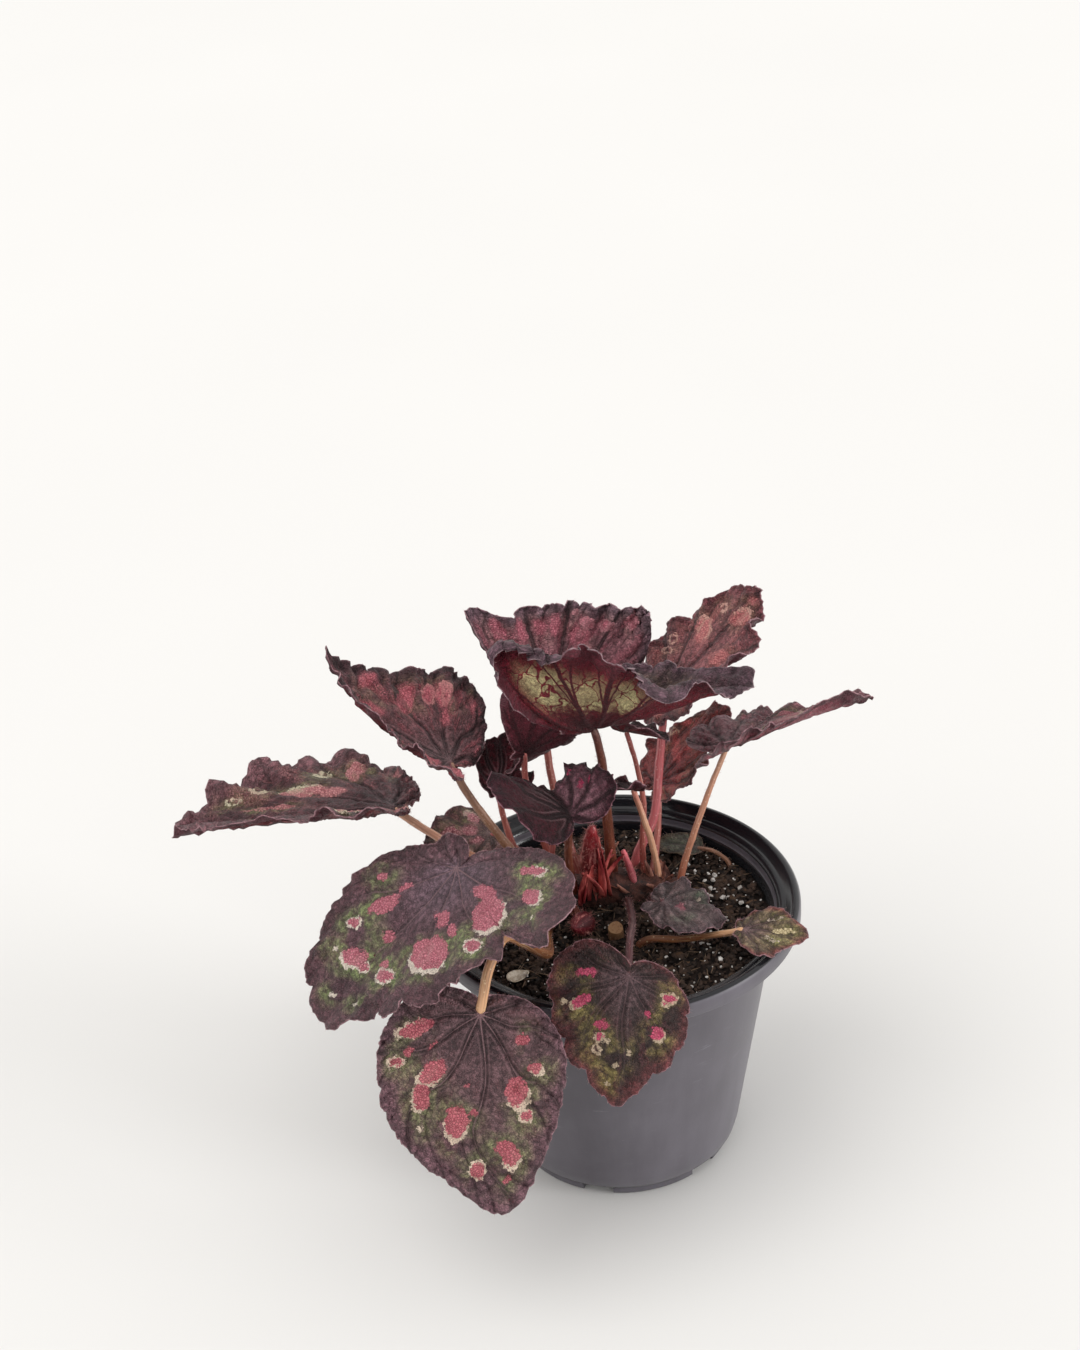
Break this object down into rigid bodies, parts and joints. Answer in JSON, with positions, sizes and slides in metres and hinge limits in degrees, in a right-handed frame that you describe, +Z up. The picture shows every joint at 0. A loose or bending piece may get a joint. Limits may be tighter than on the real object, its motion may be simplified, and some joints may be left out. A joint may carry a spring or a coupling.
{
  "type": "potted rex begonia",
  "caption": "Potted foliage plant: broad lopsided ruffled leaves on arching stalks rise from a creeping rootstock in a soil-filled round tapered nursery pot.",
  "frame": {"origin": "centre of the pot's base, on the plane that its feet and central pad stand on", "axes": "+Z up along the pot's axis; the largest front leaves hang towards -Y and -X, +X to the right as seen from the front (-Y)"},
  "size_m": [0.233, 0.1636, 0.2055],
  "materials": {
    "pot": "thin formed black plastic, dull outside, glossy inside and on the rim",
    "soil": "moist dark potting mix with white perlite and bark",
    "rhizome": "brown scaly rootstock with pale hairs",
    "cut_stub": "dry tan cut end",
    "bract": "dried papery scale",
    "bud": "rolled young leaves with dense red hairs",
    "leaf_purple": "dark purple grey, pink patches with pale crusted edges, satin",
    "leaf_green": "dark olive green with pink patches, satin",
    "leaf_crimson": "crimson underside with darker veins, satin",
    "stalk_red": "fleshy reddish brown stalk with short hairs",
    "stalk_tan": "fleshy tan stalk with short hairs"
  },
  "bodies": {
    "root": {"pot": "pot", "soil": "soil", "rhizome": "rhizome", "cut_stub": "cut_stub", "dried_bract": "bract", "bud_upright": "bud", "bud_low": "bud", "bud_thin": "bud", "far_left_blade": "leaf_purple", "far_left_stalk": "stalk_tan", "upper_left_blade": "leaf_purple", "upper_left_stalk": "stalk_red", "top_back_blade": "leaf_purple", "top_back_stalk": "stalk_red", "top_centre_blade": "leaf_crimson", "top_centre_stalk": "stalk_red", "top_right_blade": "leaf_purple", "top_right_stalk": "stalk_red", "far_right_blade": "leaf_purple", "far_right_stalk": "stalk_tan", "back_right_blade": "leaf_purple", "back_right_stalk": "stalk_red", "under_left_blade": "leaf_crimson", "under_left_stalk": "stalk_red", "crimson_left_blade": "leaf_crimson", "crimson_left_stalk": "stalk_red", "dark_centre_blade": "leaf_crimson", "dark_centre_stalk": "stalk_red", "front_left_blade": "leaf_purple", "front_left_stalk": "stalk_red", "front_low_blade": "leaf_green", "front_low_stalk": "stalk_red", "front_small_blade": "leaf_green", "front_small_stalk": "stalk_red", "soil_right_blade": "leaf_purple", "soil_right_stalk": "stalk_red", "rim_right_blade": "leaf_green", "rim_right_stalk": "stalk_red", "back_left_blade": "leaf_purple", "back_left_stalk": "stalk_red", "old_leaf_blade": "leaf_green", "old_leaf_stalk": "stalk_tan", "hidden_small_blade": "leaf_green", "hidden_small_stalk": "stalk_red", "crumpled_blade": "leaf_crimson", "crumpled_stalk": "stalk_tan", "young_leaf_blade": "leaf_green", "young_leaf_stalk": "stalk_red"}
  },
  "joints": []
}
